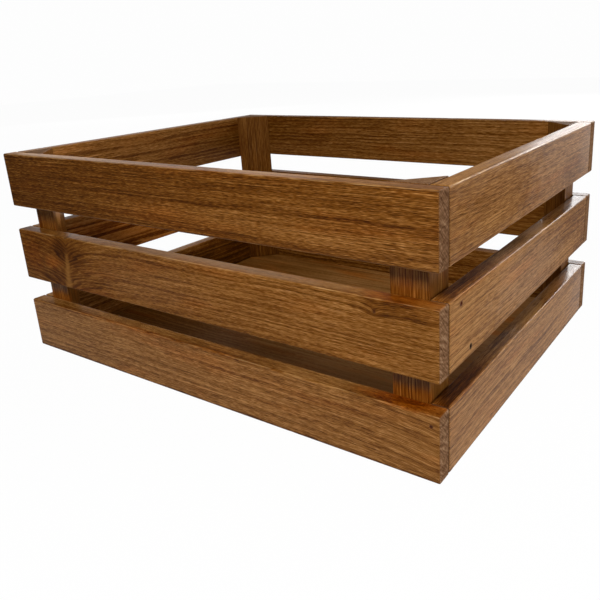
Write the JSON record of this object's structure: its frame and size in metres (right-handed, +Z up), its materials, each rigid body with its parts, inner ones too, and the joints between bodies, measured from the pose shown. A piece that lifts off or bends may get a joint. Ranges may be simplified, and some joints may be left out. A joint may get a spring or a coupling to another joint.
{
  "type": "wooden display crate",
  "caption": "Shallow open-topped slatted crate in brown stained softwood, with triangular corner posts and a flat base panel, for showing goods in a shop or cafe.",
  "frame": {"origin": "centre of the footprint, on the surface that the crate stands on", "axes": "+X along the length to the right, -Y to the front with its full-length slats, +Z up"},
  "size_m": [0.4, 0.308, 0.1739],
  "materials": {
    "slats": "brown stain, satin",
    "posts": "brown stain, satin",
    "base": "brown stain, satin",
    "brads": "dull wire"
  },
  "bodies": {
    "root": {"back_slat_bottom": "slats", "back_slat_middle": "slats", "back_slat_top": "slats", "base_panel": "base", "brad_back_bottom_left": "brads", "brad_back_bottom_right": "brads", "brad_back_middle_left": "brads", "brad_back_middle_right": "brads", "brad_back_top_left": "brads", "brad_back_top_right": "brads", "brad_base_back_left": "brads", "brad_base_back_right": "brads", "brad_base_front_left": "brads", "brad_base_front_right": "brads", "brad_front_bottom_left": "brads", "brad_front_bottom_right": "brads", "brad_front_middle_left": "brads", "brad_front_middle_right": "brads", "brad_front_top_left": "brads", "brad_front_top_right": "brads", "brad_left_bottom_back_lower": "brads", "brad_left_bottom_back_upper": "brads", "brad_left_bottom_front_lower": "brads", "brad_left_bottom_front_upper": "brads", "brad_left_middle_back_lower": "brads", "brad_left_middle_back_upper": "brads", "brad_left_middle_front_lower": "brads", "brad_left_middle_front_upper": "brads", "brad_left_top_back_lower": "brads", "brad_left_top_back_upper": "brads", "brad_left_top_front_lower": "brads", "brad_left_top_front_upper": "brads", "brad_right_bottom_back_lower": "brads", "brad_right_bottom_back_upper": "brads", "brad_right_bottom_front_lower": "brads", "brad_right_bottom_front_upper": "brads", "brad_right_middle_back_lower": "brads", "brad_right_middle_back_upper": "brads", "brad_right_middle_front_lower": "brads", "brad_right_middle_front_upper": "brads", "brad_right_top_back_lower": "brads", "brad_right_top_back_upper": "brads", "brad_right_top_front_lower": "brads", "brad_right_top_front_upper": "brads", "corner_post_back_left": "posts", "corner_post_back_right": "posts", "corner_post_front_left": "posts", "corner_post_front_right": "posts", "front_slat_bottom": "slats", "front_slat_middle": "slats", "front_slat_top": "slats", "left_slat_bottom": "slats", "left_slat_middle": "slats", "left_slat_top": "slats", "right_slat_bottom": "slats", "right_slat_middle": "slats", "right_slat_top": "slats"}
  },
  "joints": []
}
